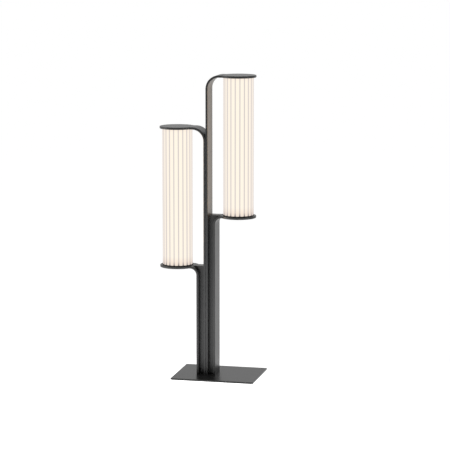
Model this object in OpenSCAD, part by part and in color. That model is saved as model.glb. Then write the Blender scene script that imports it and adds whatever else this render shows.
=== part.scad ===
// Outdoor floor lamp: two fluted glass light tubes, one low and one tall, each clamped
// between two round plates. Each plate is one flat bar, rounded to a disc at its end, bent
// once and run down to a rectangular base plate. The arms stand in two narrow columns, back
// to back, with a hollow core between the bars of each column for the wiring.
// Millimetres, +Z up. The origin is on the floor under the middle of the base, +X points
// to the tall light and +Y to the back.

/* [Lamp] */
// Height of the tall light's top face above the floor
lamp_h = 1200; // [1120:5:1400]
// Height from a light's lower plate to its upper plate, top face to top face
light_h = 552; // [480:1:620]
// How much higher the tall light stands than the low light
stagger = 205; // [120:1:260]
// Distance from the joint of the two columns to the axis of each light
light_reach = 123.5; // [120:0.5:170]
// How far the joint of the two columns stands left of the middle of the base
joint_shift = 45; // [0:1:70]

/* [Arms] */
// Width of the flat bar
bar_w = 82; // [72:1:100]
// Thickness of the flat bar and of the round plates
bar_t = 9; // [8:0.5:12]
// Clear gap between the two bars of one column
column_gap = 20; // [18:0.5:26]
// Inside radius of the bend at the top of an upper arm
upper_bend_r = 45; // [20:1:52]
// Inside radius of the bend at the top of a lower arm
lower_bend_r = 26; // [16:1:30]
// Diameter of the round plates
plate_d = 140; // [134:1:170]
// Rounding of the long edges and rims
edge_r = 2; // [0.5:0.25:3]

/* [Column core] */
// Depth of the core, front to back
core_d = 40; // [36:1:56]
// Wall of the folded core channel
channel_t = 2; // [1.5:0.25:2.5]
// Thickness of the rear cover
cover_t = 2; // [1.5:0.25:3]
// Thickness of the cap that closes the core at the lower plate
cap_t = 3; // [2:0.25:4]
// Height of the block at the foot of each core
foot_block_h = 30; // [22:1:40]

/* [Base] */
// Width of the base plate, left to right
base_w = 335; // [280:1:420]
// Depth of the base plate, front to back
base_d = 264; // [200:1:340]
// Thickness of the base plate
base_t = 6; // [5:0.5:10]
// Radius of the upright corners of the base plate
base_corner_r = 3; // [1:0.5:20]
// Rounding of the upper edge of the base plate
base_edge_r = 1; // [0.5:0.25:2]
// Thickness of the rubber mat under the base
mat_t = 2; // [1:0.25:4]
// Distance from the edges of the base to the edges of the mat
mat_inset = 6; // [3:0.5:15]

/* [Fluted glass] */
// Diameter of the glass over its flutes
glass_d = 120; // [112:1:122]
// Bore of the glass
glass_bore = 107; // [104:0.5:108]
// Number of flutes round the glass
flutes = 20; // [16:1:28]
// Radius of one flute
flute_r = 14; // [12:0.5:18]
// Height of the black ring under the glass
ring_h = 3; // [2:0.25:5]
// Width of the black ring and of the upper gasket
ring_w = 8.5; // [6.5:0.25:9]
// Depth of the groove in the upper plate that takes the glass
groove_depth = 3.5; // [2.5:0.25:4]
// Thickness of the gasket in that groove
gasket_t = 1.5; // [1:0.25:2]

/* [Light unit] */
// Diameter of the opal tube inside the glass
diffuser_d = 92; // [80:1:96]
// Wall of the opal tube
diffuser_t = 2; // [1.5:0.25:3]
// Thickness of the seats that hold the opal tube and the core
seat_t = 6; // [5:0.5:8]
// Diameter over the corners of the six sided heat sink core
sink_d = 40; // [38:1:46]
// Bore of the heat sink core
sink_bore = 31; // [30:0.5:32]
// Width of one circuit strip
strip_w = 12; // [8:0.5:15]
// Thickness of one circuit strip
strip_t = 1.6; // [1:0.2:2]
// Number of light chips along one circuit strip
chips = 12; // [6:1:24]
// Diameter of the tie rod through each light
rod_d = 8; // [6:0.5:9]

/* [Wiring] */
// Diameter of the leads
lead_d = 3.6; // [3:0.2:4]
// Width of a driver, across the column
driver_w = 15; // [13:0.5:16]
// Depth of a driver, front to back
driver_d = 22; // [18:1:24]
// Height of a driver
driver_h = 180; // [150:1:190]
// Height of the cable gland's axis above the base plate
gland_z = 70; // [62:1:80]
// Diameter of the gland's thread
gland_d = 12; // [10:0.5:12]

/* [Hidden] */
$fn = 64;

// Overrun of every cut past the face that it leaves
over = 1;
// Gap round a pin, tube or tenon in its hole
fit = 0.15;
// Gap where a flat edge follows a curved face
curve_fit = 0.2;

// Heights
base_z = mat_t;
floor_z = base_z + base_t;
top_b = lamp_h;
top_a = lamp_h - stagger;
low_b = top_b - light_h;
low_a = top_a - light_h;

// Places across one column, measured from the joint of the two columns
outer_bar_x = bar_t + column_gap;
core_mid_x = bar_t + column_gap / 2;
core_back = core_d / 2;
cover_y = core_back - cover_t;
web_y = channel_t - core_back;
bend_out_r = lower_bend_r + bar_t;
bend_x = outer_bar_x + bend_out_r;
in_x = bar_t + channel_t;
out_x = outer_bar_x - channel_t;
plate_r = plate_d / 2;

// Cap of the core: its thin tip ends where it is this thick
cap_tip_t = 0.5;
cap_tip_x = bend_x - sqrt(pow(bend_out_r, 2) - pow(bend_out_r - cap_tip_t, 2));

// Light unit
glass_r = glass_d / 2;
ring_proud = 0.5;
ring_out_r = glass_r + ring_proud;
ring_in_r = ring_out_r - ring_w;
ring_lip_t = 1;
ring_lip_h = 4;
ring_edge_r = ring_proud;
groove_gap = 0.3;
seat_r = ring_in_r - groove_gap;
seat_groove = 2;
sink_pocket = 2;
sink_foot = seat_t - sink_pocket;
sink_l = light_h - bar_t - 2 * sink_foot;
lead_gap = 1;
lead_rise = sink_bore / 2 - lead_d / 2 - lead_gap;
lead_slot_w = lead_d + lead_gap;
lead_slot_depth = cap_t + lead_d + 2 * fit;
lead_end_h = 40;
chip_w = 5;
chip_t = 1;
strip_margin = 15;
rod_thread = 6;
nut_t = 5;
nut_af = 13;
nut_bore_d = 18;
nut_sink = 5.3;
// Radius over the corners of a hexagon, as a share of half its width over the flats
hex_corner_share = 1 / cos(30);
// Radius of a nut's end face, as a share of half its width over the flats
hex_face_share = 0.95;
// Run of a nut's chamfer along its radius, as a share of the run along its axis
hex_chamfer_share = 1 / tan(30);

// Fasteners: shaft and head radii, head heights and lengths
cover_screw_r = 2;
cover_screw_head_r = 3.5;
cover_screw_head_h = 2.2;
cover_screw_rim_h = 0.8;
cover_screw_dome_h = cover_screw_head_h - cover_screw_rim_h;
cover_screw_dome_r = (pow(cover_screw_head_r, 2) + pow(cover_screw_dome_h, 2)) / (2 * cover_screw_dome_h);
cover_screw_l = 8;
cover_socket_r = 1.4;
cover_socket_depth = 1.2;
cross_bar_h = 10;
cross_bar_d = 8;
cross_bars = 3;
base_screw_r = 4;
base_screw_head_r = 8;
base_screw_l = 20;
base_screw_y = 9;
base_socket_r = 2.9;
base_socket_depth = 2.5;
column_screw_r = 2.5;
column_screw_head_r = 4.6;
column_screw_bite = 6;
column_screw_socket_r = 1.6;
column_screw_socket_depth = 1.5;
column_screw_rows = 4;

// Wiring inside the columns
gland_hex_af = 15;
gland_hex_t = 5;
gland_neck_r = 6.2;
gland_neck_l = 1;
gland_cap_af = 14;
gland_cap_hex_t = 5;
gland_dome_r = 6.7;
gland_dome_round = 3;
gland_dome_l = 5;
gland_bore_r = 3;
gland_l = gland_hex_t + gland_neck_l + gland_cap_hex_t + gland_dome_l;
gland_thread_l = 8;
gland_nut_t = 3;
terminal_h = 22;
terminal_d = 16;
terminal_poles = 3;
terminal_screw_r = 1.8;
terminal_screw_depth = 4;
terminal_notch_w = 1;
terminal_notch_depth = 2.5;
terminal_entry_r = 2;
terminal_entry_depth = 5;
terminal_gap = 10;
wire_gap = 12;
bush_r = 5;
bush_bore_r = 3;
lead_bend_r = 8;
small_bend_r = 4;
driver_ear_t = 2;
driver_ear_l = 8;
driver_ear_hole_r = 1.7;
driver_edge_r = 1;
driver_groove_w = 2;
driver_groove_depth = 1;

gland_axis_z = floor_z + gland_z;
terminal_z = gland_axis_z + gland_d / 2 + terminal_gap;
bush_z = terminal_z + terminal_h / 2;
wire_y = web_y + terminal_d / 2;
driver_z = terminal_z + terminal_h + wire_gap;

// Placing of the two sides

module side(s) {
    translate([-joint_shift, 0, 0])
        if (s == "a") mirror([1, 0, 0]) children();
        else children();
}

function top_of(s) = s == "a" ? top_a : top_b;
function low_of(s) = s == "a" ? low_a : low_b;

// Heights of the cross bars that the cover screws bite into
function bar_z(s, i) =
    let (first = floor_z + foot_block_h + cross_bar_h, last = low_of(s) - bend_out_r - 2 * cross_bar_h)
    first + (last - first) * i / (cross_bars - 1);

// Heights of the screws that join the columns, all below the low light
function column_screw_z(i) =
    let (first = floor_z + foot_block_h, last = low_a - bend_out_r)
    first + (last - first) * (i + 0.5) / column_screw_rows;

// Paint, metals and plastics

module painted() color("#2b2b2b") children();
module bare_metal() color("#b9bcc0") children();
module rubber() color("#1a1a1a") children();

// Flat bars and round plates

// Section of the bar: thickness along x from 0, width centred on y
module bar_section() {
    translate([edge_r, -bar_w / 2]) square([bar_t - 2 * edge_r, bar_w]);
    translate([0, edge_r - bar_w / 2]) square([bar_t, bar_w - 2 * edge_r]);
    for (x = [edge_r, bar_t - edge_r], y = [edge_r - bar_w / 2, bar_w / 2 - edge_r])
        translate([x, y]) circle(edge_r);
}

// Half section of a round plate, from its axis to its rounded rim
module plate_section() {
    square([plate_r - edge_r, bar_t]);
    translate([0, edge_r]) square([plate_r, bar_t - 2 * edge_r]);
    for (y = [edge_r, bar_t - edge_r])
        translate([plate_r - edge_r, y]) circle(edge_r);
}

// One arm: upright bar from the base, one bend and the round plate at its end
module arm(face_x, bend_r, top_z) {
    out_r = bend_r + bar_t;
    tangent_x = face_x + out_r;
    translate([face_x, 0, floor_z])
        linear_extrude(top_z - out_r - floor_z) bar_section();
    translate([tangent_x, 0, top_z - out_r])
        rotate([90, 0, 0]) rotate([0, 0, 90])
            rotate_extrude(angle = 90) translate([bend_r, 0]) bar_section();
    translate([tangent_x, 0, top_z])
        rotate([0, 90, 0]) linear_extrude(light_reach - tangent_x) bar_section();
    intersection() {
        translate([light_reach, 0, top_z - bar_t]) rotate_extrude() plate_section();
        translate([tangent_x, -plate_d, top_z - plate_r])
            cube([light_reach + plate_d, 2 * plate_d, plate_d]);
    }
}

module upper_arm(s) {
    top_z = top_of(s);
    under_z = top_z - bar_t;
    side(s) painted() difference() {
        arm(0, upper_bend_r, top_z);
        // Groove for the glass and its gasket
        translate([light_reach, 0, under_z - over]) difference() {
            cylinder(h = groove_depth + over, r = ring_out_r + groove_gap);
            translate([0, 0, -over]) cylinder(h = groove_depth + 3 * over, r = ring_in_r - groove_gap);
        }
        // Blind hole for the top of the tie rod
        translate([light_reach, 0, under_z - over])
            cylinder(h = rod_thread + fit + over, r = rod_d / 2 + fit);
        column_joint_cut(s);
    }
}

module lower_arm(s) {
    top_z = low_of(s);
    side(s) painted() difference() {
        arm(outer_bar_x, lower_bend_r, top_z);
        // Hole and counterbore for the tie rod and its nut
        translate([light_reach, 0, top_z - bar_t - over]) {
            cylinder(h = bar_t + 2 * over, r = rod_d / 2 + fit);
            cylinder(h = nut_sink + over, r = nut_bore_d / 2);
        }
        // Slot for the lead, from the core to the foot of the light
        translate([outer_bar_x, -lead_slot_w / 2, top_z - lead_slot_depth])
            cube([light_reach - lead_rise - outer_bar_x, lead_slot_w, lead_slot_depth + over]);
        translate([light_reach - lead_rise, 0, top_z - lead_slot_depth])
            cylinder(h = lead_slot_depth + over, r = lead_slot_w / 2);
    }
}

// Holes through the two inner bars: screws in both, and the bush for the linking lead
module column_joint_cut(s) {
    for (i = [0 : column_screw_rows - 1]) translate([0, 0, column_screw_z(i)]) rotate([0, 90, 0])
        if (s == "a") {
            translate([0, 0, -over]) cylinder(h = bar_t + 2 * over, r = column_screw_r + fit);
            translate([0, 0, bar_t - column_screw_head_r + column_screw_r])
                cylinder(h = column_screw_head_r - column_screw_r + fit,
                    r1 = column_screw_r + fit, r2 = column_screw_head_r + 2 * fit);
        }
        else translate([0, 0, -over])
            cylinder(h = column_screw_bite + fit + over, r = column_screw_r + fit);
    translate([-over, wire_y, bush_z])
        rotate([0, 90, 0]) cylinder(h = bar_t + 2 * over, r = bush_r + fit);
}

// Core of a column

// Outline of the core seen from the front: straight below, flared along the lower bend above
module core_outline(s, z0, z1) {
    bend_z = low_of(s) - bend_out_r;
    difference() {
        translate([bar_t, z0]) square([cap_tip_x - bar_t, z1 - z0]);
        translate([bend_x, bend_z]) circle(r = bend_out_r + curve_fit, $fn = 128);
        if (z0 < bend_z) translate([outer_bar_x, z0 - over]) square([bend_x, bend_z - z0 + over]);
    }
}

// Sheet of thickness t cut to the core's outline, its rear face at y
module core_sheet(s, z0, z1, y, t)
    translate([0, y, 0]) rotate([90, 0, 0]) linear_extrude(t) core_outline(s, z0, z1);

module core_channel(s) {
    cap_z = low_of(s) - cap_t;
    bend_z = low_of(s) - bend_out_r;
    side(s) painted() difference() {
        union() {
            core_sheet(s, floor_z, cap_z, web_y, channel_t);
            translate([bar_t, -core_back, floor_z])
                cube([channel_t, core_d - cover_t, cap_z - floor_z]);
            translate([out_x, -core_back, floor_z])
                cube([channel_t, core_d - cover_t, bend_z - floor_z]);
            for (i = [0 : cross_bars - 1])
                translate([bar_t, cover_y - cross_bar_d, bar_z(s, i)])
                    cube([column_gap, cross_bar_d, cross_bar_h]);
        }
        for (i = [0 : cross_bars - 1])
            translate([core_mid_x, cover_y + over, bar_z(s, i) + cross_bar_h / 2])
                rotate([90, 0, 0]) cylinder(h = cross_bar_d + 2 * over, r = cover_screw_r + fit);
        translate([bar_t - over, wire_y, bush_z])
            rotate([0, 90, 0]) cylinder(h = channel_t + 2 * over, r = bush_r + fit);
    }
}

module rear_cover(s) {
    side(s) painted() difference() {
        core_sheet(s, floor_z, low_of(s) - cap_t, core_back, cover_t);
        for (i = [0 : cross_bars - 1])
            translate([core_mid_x, core_back + over, bar_z(s, i) + cross_bar_h / 2])
                rotate([90, 0, 0]) cylinder(h = cover_t + 2 * over, r = cover_screw_r + fit);
        if (s == "b")
            translate([core_mid_x, core_back + over, gland_axis_z])
                rotate([90, 0, 0]) cylinder(h = cover_t + 2 * over, r = gland_d / 2 + fit);
    }
}

module cover_screws(s) {
    side(s) bare_metal() for (i = [0 : cross_bars - 1])
        translate([core_mid_x, core_back, bar_z(s, i) + cross_bar_h / 2])
            rotate([-90, 0, 0]) difference() {
                union() {
                    rotate_extrude() intersection() {
                        square([cover_screw_head_r, cover_screw_head_h]);
                        translate([0, cover_screw_head_h - cover_screw_dome_r]) circle(cover_screw_dome_r);
                    }
                    translate([0, 0, -cover_screw_l]) cylinder(h = cover_screw_l, r = cover_screw_r);
                }
                translate([0, 0, cover_screw_head_h - cover_socket_depth])
                    cylinder(h = cover_socket_depth + over, r = cover_socket_r, $fn = 6);
            }
}

module cap_plate(s)
    side(s) painted() core_sheet(s, low_of(s) - cap_t, low_of(s), core_back, core_d);

module foot_block(s) {
    side(s) bare_metal() difference() {
        translate([in_x, web_y, floor_z])
            cube([column_gap - 2 * channel_t, cover_y - web_y, foot_block_h]);
        for (y = [-base_screw_y, base_screw_y])
            translate([core_mid_x, y, floor_z - over])
                cylinder(h = base_screw_l, r = base_screw_r + fit);
    }
}

// Base

// Rectangle with rounded corners, centred
module corner_outline(w, d, r) {
    square([w - 2 * r, d], center = true);
    square([w, d - 2 * r], center = true);
    for (x = [r - w / 2, w / 2 - r], y = [r - d / 2, d / 2 - r]) translate([x, y]) circle(r);
}

// Section of the base plate with its two upper edges rounded, x centred and y from 0
module edge_outline(w) {
    translate([-w / 2, 0]) square([w, base_t - base_edge_r]);
    translate([base_edge_r - w / 2, 0]) square([w - 2 * base_edge_r, base_t]);
    for (x = [base_edge_r - w / 2, w / 2 - base_edge_r])
        translate([x, base_t - base_edge_r]) circle(base_edge_r);
}

module base_screw_places()
    for (s = ["a", "b"], y = [-base_screw_y, base_screw_y])
        side(s) translate([core_mid_x, y, base_z]) children();

module base_plate() {
    painted() difference() {
        intersection() {
            translate([0, 0, base_z]) linear_extrude(base_t) corner_outline(base_w, base_d, base_corner_r);
            translate([0, base_d / 2, base_z])
                rotate([90, 0, 0]) linear_extrude(base_d) edge_outline(base_w);
            translate([-base_w / 2, 0, base_z])
                rotate([90, 0, 90]) linear_extrude(base_w) edge_outline(base_d);
        }
        base_screw_places() {
            translate([0, 0, -over]) cylinder(h = base_t + 2 * over, r = base_screw_r + fit);
            translate([0, 0, -fit])
                cylinder(h = base_screw_head_r - base_screw_r + fit,
                    r1 = base_screw_head_r + 2 * fit, r2 = base_screw_r + fit);
        }
    }
}

module base_mat() rubber() linear_extrude(mat_t)
    corner_outline(base_w - 2 * mat_inset, base_d - 2 * mat_inset, base_corner_r);

module base_screws()
    bare_metal() base_screw_places() difference() {
        union() {
            cylinder(h = base_screw_head_r - base_screw_r, r1 = base_screw_head_r, r2 = base_screw_r);
            cylinder(h = base_screw_l, r = base_screw_r);
        }
        translate([0, 0, -over])
            cylinder(h = base_socket_depth + over, r = base_socket_r, $fn = 6);
    }

// Screws that draw the two columns together, heads inside the low light's column
module column_screws()
    side("a") bare_metal() for (i = [0 : column_screw_rows - 1])
        translate([bar_t, 0, column_screw_z(i)]) rotate([0, -90, 0]) difference() {
            union() {
                cylinder(h = column_screw_head_r - column_screw_r,
                    r1 = column_screw_head_r, r2 = column_screw_r);
                cylinder(h = bar_t + column_screw_bite, r = column_screw_r);
            }
            translate([0, 0, -over]) cylinder(h = column_screw_socket_depth + over,
                r = column_screw_socket_r, $fn = 6);
        }

// Hexagon on z 0 with the corners of both its ends chamfered
module nut_body(height, across_flats) {
    face_r = across_flats / 2 * hex_face_share;
    wide_r = face_r + height * hex_chamfer_share;
    intersection() {
        cylinder(h = height, r = across_flats / 2 * hex_corner_share, $fn = 6);
        cylinder(h = height, r1 = face_r, r2 = wide_r);
        cylinder(h = height, r1 = wide_r, r2 = face_r);
    }
}

// Light units

module at_light(s, z) side(s) translate([light_reach, 0, z]) children();

// Ring of flutes with a smooth bore; the valleys lie on the front, back and side lines
module glass_outline()
    difference() {
        for (i = [0 : flutes - 1]) rotate((i + 0.5) * 360 / flutes)
            translate([glass_r - flute_r, 0]) circle(flute_r);
        circle(r = glass_bore / 2, $fn = 128);
    }

module fluted_glass(s) {
    glass_top = top_of(s) - bar_t + groove_depth - gasket_t;
    glass_foot = low_of(s) + ring_h;
    color("#fff6e5") at_light(s, glass_foot) linear_extrude(glass_top - glass_foot) glass_outline();
}

// Black ring under the glass, with a lip that centres the bore
module lower_ring(s)
    rubber() at_light(s, low_of(s)) rotate_extrude() {
        translate([ring_in_r, 0]) square([ring_w - ring_edge_r, ring_h]);
        translate([ring_in_r, ring_edge_r]) square([ring_w, ring_h - 2 * ring_edge_r]);
        for (y = [ring_edge_r, ring_h - ring_edge_r])
            translate([ring_out_r - ring_edge_r, y]) circle(ring_edge_r);
        translate([ring_in_r, 0]) square([ring_lip_t, ring_h + ring_lip_h]);
    }

module upper_gasket(s)
    rubber() at_light(s, top_of(s) - bar_t + groove_depth - gasket_t)
        rotate_extrude() translate([ring_in_r, 0]) square([ring_w, gasket_t]);

module seat_tube_groove()
    difference() {
        cylinder(h = seat_groove + over, r = diffuser_d / 2 + fit);
        translate([0, 0, -over])
            cylinder(h = seat_groove + 3 * over, r = diffuser_d / 2 - diffuser_t - fit);
    }

// Round seat with a groove for the opal tube and a pocket for the heat sink, facing up
module seat(hole_for_lead) {
    difference() {
        cylinder(h = seat_t, r = seat_r);
        translate([0, 0, seat_t - seat_groove]) seat_tube_groove();
        translate([0, 0, seat_t - sink_pocket])
            cylinder(h = sink_pocket + over, r = sink_d / 2 + fit * hex_corner_share, $fn = 6);
        translate([0, 0, -over]) cylinder(h = seat_t + 2 * over, r = rod_d / 2 + fit);
        if (hole_for_lead) translate([-lead_rise, 0, -over])
            cylinder(h = seat_t + 2 * over, r = lead_slot_w / 2);
    }
}

module lower_seat(s) color("#e9e9e6") at_light(s, low_of(s)) seat(true);

module upper_seat(s)
    color("#e9e9e6") at_light(s, top_of(s) - bar_t) mirror([0, 0, 1]) seat(false);

module diffuser(s) {
    foot = low_of(s) + seat_t - seat_groove;
    head = top_of(s) - bar_t - seat_t + seat_groove;
    color("#fffaf0") at_light(s, foot) rotate_extrude()
        translate([diffuser_d / 2 - diffuser_t, 0]) square([diffuser_t, head - foot]);
}

module heat_sink(s)
    bare_metal() at_light(s, low_of(s) + sink_foot) difference() {
        cylinder(h = sink_l, r = sink_d / 2, $fn = 6);
        translate([0, 0, -over]) cylinder(h = sink_l + 2 * over, r = sink_bore / 2);
    }

// Circuit strips on the six faces of the heat sink, each with its row of light chips
module led_strips(s) {
    face_r = sink_d / 2 / hex_corner_share;
    length = sink_l - 2 * strip_margin;
    color("#f4f1e4") at_light(s, low_of(s) + sink_foot + strip_margin)
        for (a = [30 : 60 : 330]) rotate(a) {
            translate([face_r, -strip_w / 2, 0]) cube([strip_t, strip_w, length]);
            for (i = [0 : chips - 1])
                translate([face_r + strip_t, -chip_w / 2, length * (i + 0.5) / chips - chip_w / 2])
                    cube([chip_t, chip_w, chip_w]);
        }
}

module tie_rod(s) {
    foot = low_of(s) - bar_t + nut_sink - nut_t;
    head = top_of(s) - bar_t + rod_thread;
    bare_metal() at_light(s, foot) cylinder(h = head - foot, r = rod_d / 2);
}

module tie_nut(s)
    bare_metal() at_light(s, low_of(s) - bar_t + nut_sink - nut_t) difference() {
        nut_body(nut_t, nut_af);
        translate([0, 0, -over]) cylinder(h = nut_t + 2 * over, r = rod_d / 2 + fit);
    }

// Wiring

// Driver: a case with rounded edges and two grooves, and an ear with a hole at each end
module driver(s)
    color("#e4e4e0") side(s) translate([in_x + driver_w / 2, web_y, driver_z]) difference() {
        union() {
            translate([0, driver_d / 2, 0])
                linear_extrude(driver_h) corner_outline(driver_w, driver_d, driver_edge_r);
            translate([-driver_w / 2, 0, -driver_ear_l])
                cube([driver_w, driver_ear_t, driver_h + 2 * driver_ear_l]);
        }
        for (x = [-1, 1]) translate([(x * driver_w / 2 - driver_groove_w) / 2, 0, -over])
            translate([0, driver_d - driver_groove_depth, 0])
                cube([driver_groove_w, driver_groove_depth + over, driver_h + 2 * over]);
        for (z = [-driver_ear_l / 2, driver_h + driver_ear_l / 2])
            translate([0, driver_ear_t + over, z])
                rotate([90, 0, 0]) cylinder(h = driver_ear_t + 2 * over, r = driver_ear_hole_r);
    }

// Quarter bend of a lead in the x-z plane, about its centre, from angle start on
module lead_quarter(r, start)
    rotate([90, 0, 0]) rotate([0, 0, start])
        rotate_extrude(angle = 90) translate([r, 0]) circle(d = lead_d);

// Lead from a driver up the core, over the bend in its slot and up into the heat sink
module light_lead(s) {
    slot_z = low_of(s) - lead_slot_depth + fit + lead_d / 2;
    start_z = driver_z + driver_h;
    rise_x = light_reach - lead_rise;
    run_x = core_mid_x + lead_bend_r;
    color("#d8d8d4") side(s) {
        translate([core_mid_x, 0, start_z]) cylinder(h = slot_z - lead_bend_r - start_z, d = lead_d);
        translate([run_x, 0, slot_z - lead_bend_r]) lead_quarter(lead_bend_r, 90);
        translate([run_x, 0, slot_z])
            rotate([0, 90, 0]) cylinder(h = rise_x - small_bend_r - run_x, d = lead_d);
        translate([rise_x - small_bend_r, 0, slot_z + small_bend_r]) lead_quarter(small_bend_r, 270);
        translate([rise_x, 0, slot_z + small_bend_r]) cylinder(h = lead_end_h, d = lead_d);
    }
}

// Terminal block: poles one above the other, each with a screw well and a wire entry
module terminal_block() {
    pole_h = terminal_h / terminal_poles;
    front_y = terminal_d + over;
    color("#efefec") side("b") translate([in_x, web_y, terminal_z]) difference() {
        cube([column_gap - 2 * channel_t, terminal_d, terminal_h]);
        for (i = [0 : terminal_poles - 1]) translate([core_mid_x - in_x, 0, (i + 0.5) * pole_h]) {
            translate([0, front_y, 0])
                rotate([90, 0, 0]) cylinder(h = terminal_screw_depth + over, r = terminal_screw_r);
            translate([column_gap / 2 - channel_t - terminal_entry_depth, terminal_d / 2, 0])
                rotate([0, 90, 0]) cylinder(h = terminal_entry_depth + over, r = terminal_entry_r);
        }
        for (i = [1 : terminal_poles - 1])
            translate([-over, terminal_d - terminal_notch_depth, i * pole_h - terminal_notch_w / 2])
                cube([column_gap, terminal_notch_depth + over, terminal_notch_w]);
    }
}

// Bush through the two inner bars for the lead that links the columns
module link_bush()
    rubber() translate([-joint_shift - in_x, wire_y, bush_z]) rotate([0, 90, 0]) difference() {
        cylinder(h = 2 * in_x, r = bush_r);
        translate([0, 0, -over]) cylinder(h = 2 * in_x + 2 * over, r = bush_bore_r);
    }

// Leads from the terminal block: one up to the tall light's driver, one across to the other
module supply_leads() {
    far_z = bush_z + lead_bend_r;
    color("#d8d8d4") {
        side("b") translate([core_mid_x, wire_y, terminal_z + terminal_h])
            cylinder(h = wire_gap, d = lead_d);
        side("a") translate([0, wire_y, 0]) {
            translate([-in_x, 0, bush_z])
                rotate([0, 90, 0]) cylinder(h = in_x + core_mid_x - lead_bend_r, d = lead_d);
            translate([core_mid_x - lead_bend_r, 0, far_z]) lead_quarter(lead_bend_r, 270);
            translate([core_mid_x, 0, far_z]) cylinder(h = driver_z - far_z, d = lead_d);
        }
    }
}

// Gland without its cord: threaded body with a hexagon, neck and domed cap nut
module cable_gland()
    rubber() side("b") translate([core_mid_x, core_back, gland_axis_z]) rotate([-90, 0, 0]) difference() {
        cap_z = gland_hex_t + gland_neck_l;
        dome_z = cap_z + gland_cap_hex_t;
        union() {
            rotate(30) nut_body(gland_hex_t, gland_hex_af);
            translate([0, 0, -gland_thread_l]) cylinder(h = gland_thread_l + over, r = gland_d / 2);
            translate([0, 0, over]) cylinder(h = gland_hex_t + gland_neck_l, r = gland_neck_r);
            translate([0, 0, cap_z]) rotate(30) nut_body(gland_cap_hex_t, gland_cap_af);
            translate([0, 0, dome_z - over]) rotate_extrude() {
                square([gland_dome_r, gland_dome_l + over - gland_dome_round]);
                square([gland_dome_r - gland_dome_round, gland_dome_l + over]);
                translate([gland_dome_r - gland_dome_round, gland_dome_l + over - gland_dome_round])
                    circle(gland_dome_round);
            }
        }
        translate([0, 0, -gland_thread_l - over])
            cylinder(h = gland_thread_l + gland_l + 2 * over, r = gland_bore_r);
    }

module gland_nut()
    rubber() side("b") translate([core_mid_x, cover_y, gland_axis_z]) rotate([90, 0, 0]) difference() {
        rotate(30) nut_body(gland_nut_t, gland_hex_af);
        translate([0, 0, -over]) cylinder(h = gland_nut_t + 2 * over, r = gland_d / 2 + fit);
    }

base_plate();
base_mat();
base_screws();
column_screws();
upper_arm("a");  // upper_arm_a
upper_arm("b");  // upper_arm_b
lower_arm("a");  // lower_arm_a
lower_arm("b");  // lower_arm_b
core_channel("a");  // core_channel_a
core_channel("b");  // core_channel_b
rear_cover("a");  // rear_cover_a
rear_cover("b");  // rear_cover_b
cover_screws("a");  // cover_screws_a
cover_screws("b");  // cover_screws_b
cap_plate("a");  // cap_plate_a
cap_plate("b");  // cap_plate_b
foot_block("a");  // foot_block_a
foot_block("b");  // foot_block_b
fluted_glass("a");  // fluted_glass_a
fluted_glass("b");  // fluted_glass_b
lower_ring("a");  // lower_ring_a
lower_ring("b");  // lower_ring_b
upper_gasket("a");  // upper_gasket_a
upper_gasket("b");  // upper_gasket_b
diffuser("a");  // diffuser_a
diffuser("b");  // diffuser_b
lower_seat("a");  // lower_seat_a
lower_seat("b");  // lower_seat_b
upper_seat("a");  // upper_seat_a
upper_seat("b");  // upper_seat_b
heat_sink("a");  // heat_sink_a
heat_sink("b");  // heat_sink_b
led_strips("a");  // led_strips_a
led_strips("b");  // led_strips_b
tie_rod("a");  // tie_rod_a
tie_rod("b");  // tie_rod_b
tie_nut("a");  // tie_nut_a
tie_nut("b");  // tie_nut_b
driver("a");  // driver_a
driver("b");  // driver_b
light_lead("a");  // light_lead_a
light_lead("b");  // light_lead_b
terminal_block();
supply_leads();
link_bush();
cable_gland();
gland_nut();
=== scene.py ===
"""Outdoor floor lamp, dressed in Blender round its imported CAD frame.

Two fluted glass light tubes, one low and one tall, stand beside two narrow columns of bent
flat bar on a rectangular base plate. The lamp is in metres, +Z up, with the tall light on the
+X side and the back towards +Y. Each sub-assembly is a class that models its own new pieces
in their finish, and the nodes that stay are dressed by their slot. Each finish is a small
frozen class that builds its shader.
"""
from __future__ import annotations

import logging
import math
from dataclasses import dataclass
from enum import Enum
from typing import Any, Callable, Iterable, Iterator

import bmesh
import bpy
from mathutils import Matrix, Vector

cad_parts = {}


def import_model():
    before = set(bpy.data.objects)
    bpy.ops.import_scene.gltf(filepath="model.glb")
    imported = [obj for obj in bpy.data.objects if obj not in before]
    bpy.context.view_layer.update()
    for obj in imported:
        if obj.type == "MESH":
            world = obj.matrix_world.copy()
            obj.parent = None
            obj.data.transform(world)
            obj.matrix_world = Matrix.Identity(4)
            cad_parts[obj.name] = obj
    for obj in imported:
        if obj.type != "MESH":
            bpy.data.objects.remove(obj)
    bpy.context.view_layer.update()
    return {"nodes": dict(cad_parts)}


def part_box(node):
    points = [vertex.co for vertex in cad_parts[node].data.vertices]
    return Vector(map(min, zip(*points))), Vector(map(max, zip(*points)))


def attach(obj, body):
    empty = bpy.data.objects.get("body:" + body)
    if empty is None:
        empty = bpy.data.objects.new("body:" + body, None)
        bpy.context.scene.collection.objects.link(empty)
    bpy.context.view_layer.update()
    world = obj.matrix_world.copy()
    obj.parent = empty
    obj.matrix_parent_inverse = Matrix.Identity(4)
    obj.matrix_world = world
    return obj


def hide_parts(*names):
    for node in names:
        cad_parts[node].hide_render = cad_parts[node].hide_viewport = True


Triple = tuple[float, float, float]
Flat = tuple[float, float]

MM = 0.001
BODY = "root"
TURN = 2 * math.pi
UP = Vector((0.0, 0.0, 1.0))
# Points that lie closer than this count as one.
NEAR = 0.01 * MM
# Most of a noise pattern's values lie between these two.
NOISE_LOW, NOISE_HIGH = 0.3, 0.7
log = logging.getLogger("floor_lamp")


class Side(Enum):
    """The two halves of the lamp, with the letters that end their nodes' names."""

    LOW = "a"
    TALL = "b"

    def node(self, stem: str) -> str:
        """Name of the CAD node with this stem on this side."""
        return f"{stem}_{self.value}"


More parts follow.
